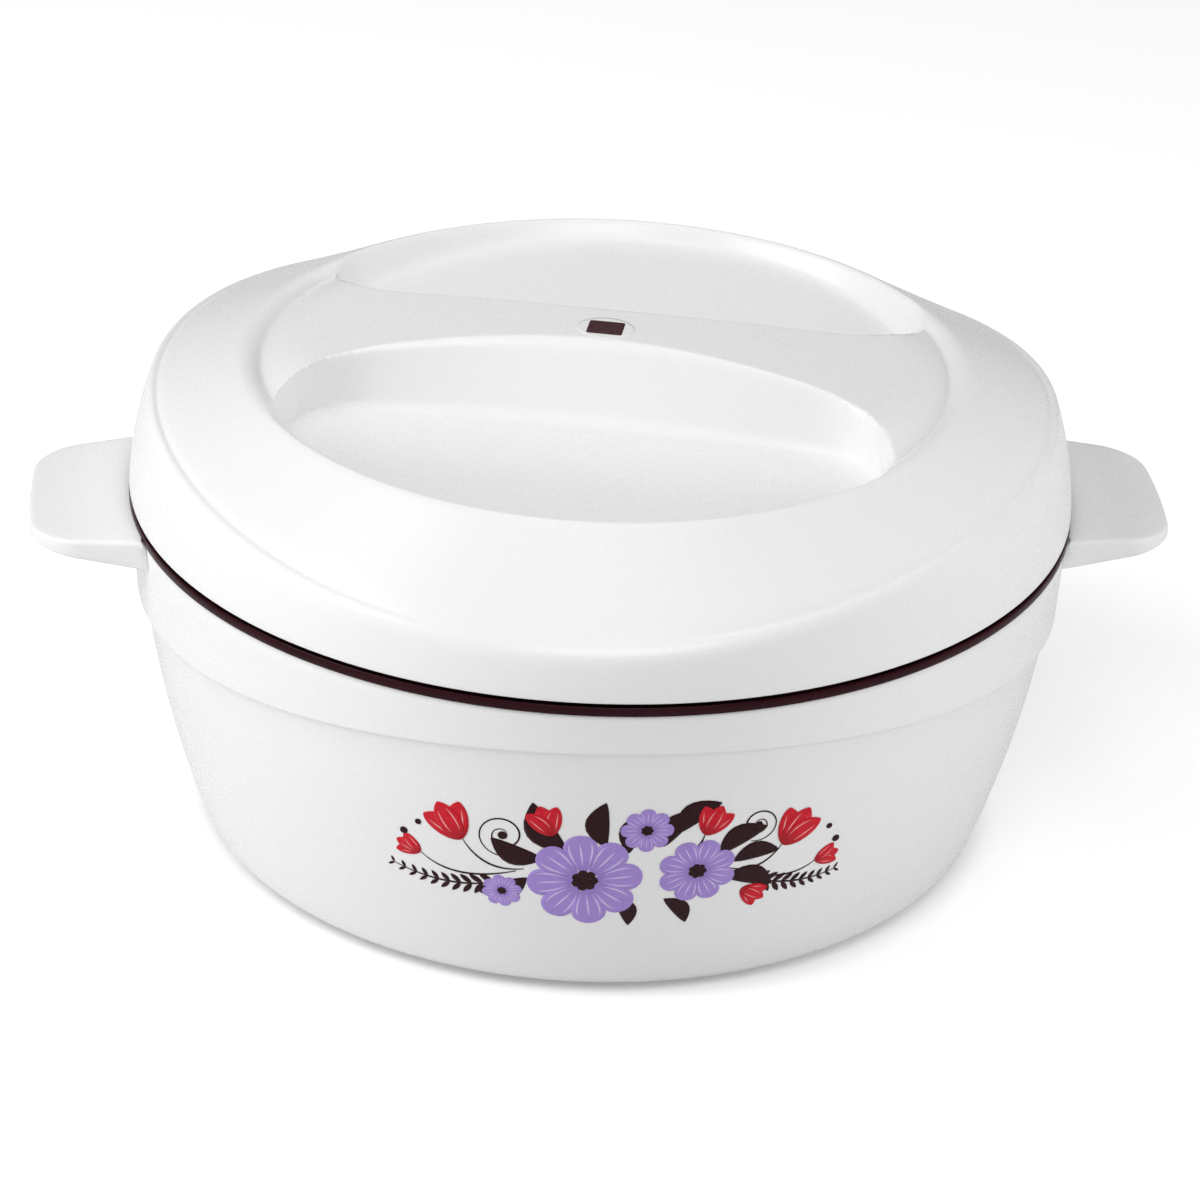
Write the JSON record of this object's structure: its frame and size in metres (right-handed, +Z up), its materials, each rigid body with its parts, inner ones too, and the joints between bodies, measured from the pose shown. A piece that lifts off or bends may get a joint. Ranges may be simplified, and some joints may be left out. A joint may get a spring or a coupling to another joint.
{
  "type": "insulated casserole with lift-off lid",
  "caption": "Round insulated serving casserole with side handles, a steel inner bowl, a dark rim ring and a domed lift-off lid with finger recesses.",
  "frame": {"origin": "middle of the base, at the height of the table the casserole stands on", "axes": "+Z up; X through the two handles; the printed front of the body faces -Y"},
  "size_m": [0.3146, 0.26, 0.146],
  "materials": {
    "white_plastic": "smooth moulded white polypropylene, satin gloss",
    "foam": "pale yellow rigid foam",
    "bowl_steel": "drawn stainless steel, satin",
    "ring_plastic": "very dark maroon moulded plastic, satin gloss",
    "screw_steel": "zinc plated",
    "plug_plastic": "white moulded plastic",
    "liner_plastic": "smooth moulded white plastic",
    "label_film": "thin clear film with a blank dark patch"
  },
  "bodies": {
    "casserole_body": {"outer_shell": "white_plastic", "body_insulation": "foam", "inner_bowl": "bowl_steel", "rim_ring": "ring_plastic", "right_handle": "white_plastic", "left_handle": "white_plastic", "right_handle_screws": "screw_steel", "left_handle_screws": "screw_steel", "base_plug": "plug_plastic"},
    "lid": {"lid_shell": "white_plastic", "lid_insulation": "foam", "lid_liner": "liner_plastic", "lid_plug": "plug_plastic", "lid_label": "label_film"}
  },
  "joints": [
    {"name": "lid_lift", "type": "slide", "parent": "casserole_body", "child": "lid", "axis": [0, 0, 1], "range_m": [0, 0.12]}
  ]
}
